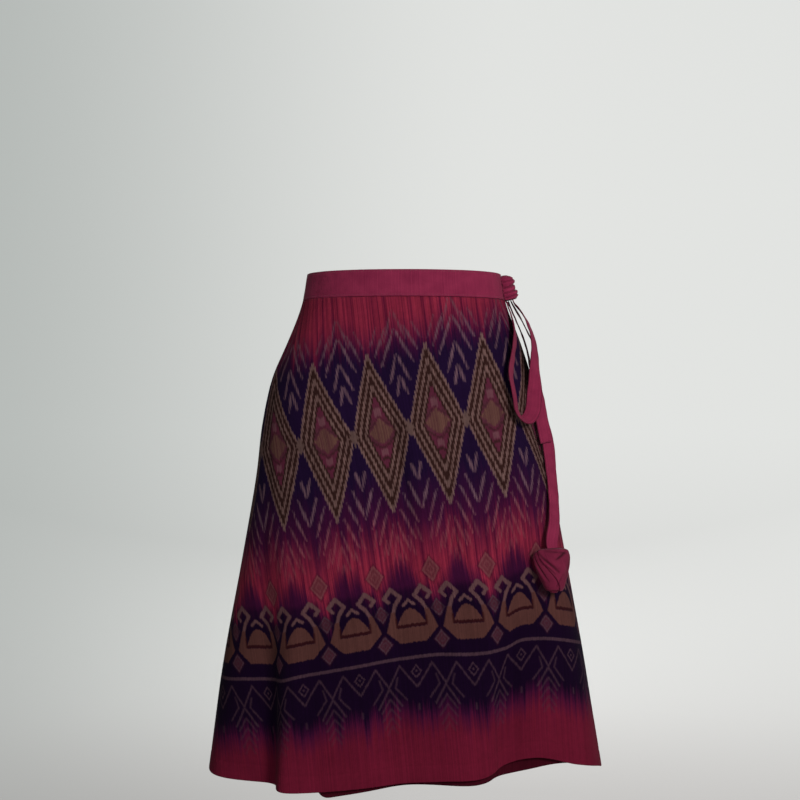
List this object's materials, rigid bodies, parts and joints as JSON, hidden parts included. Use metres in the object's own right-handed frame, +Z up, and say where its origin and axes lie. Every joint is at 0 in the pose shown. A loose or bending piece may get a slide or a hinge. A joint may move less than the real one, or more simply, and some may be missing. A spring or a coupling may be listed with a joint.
{
  "type": "wrap skirt",
  "caption": "Knee-length wrap skirt in woven ikat cotton, held out as when worn, tied in a bow at the wearer's left hip.",
  "frame": {"origin": "middle of the waist opening, level with the waistband's top edge", "axes": "+Z up, -Y towards the wearer's front, +X towards the wearer's left"},
  "size_m": [0.5243, 0.2671, 0.673],
  "materials": {
    "ikat_cotton": "matt handwoven ikat cotton in navy, crimson and taupe",
    "plain_cotton": "matt plain crimson cotton"
  },
  "bodies": {
    "root": {"front_over": "ikat_cotton", "front_under": "ikat_cotton", "back": "ikat_cotton", "waistband": "plain_cotton", "tie_knot": "plain_cotton", "tie_loop": "plain_cotton", "tie_tail_long": "plain_cotton", "tie_tail_short": "plain_cotton", "bud_body": "plain_cotton", "bud_petal_under": "plain_cotton", "bud_petal_over": "plain_cotton"}
  },
  "joints": []
}
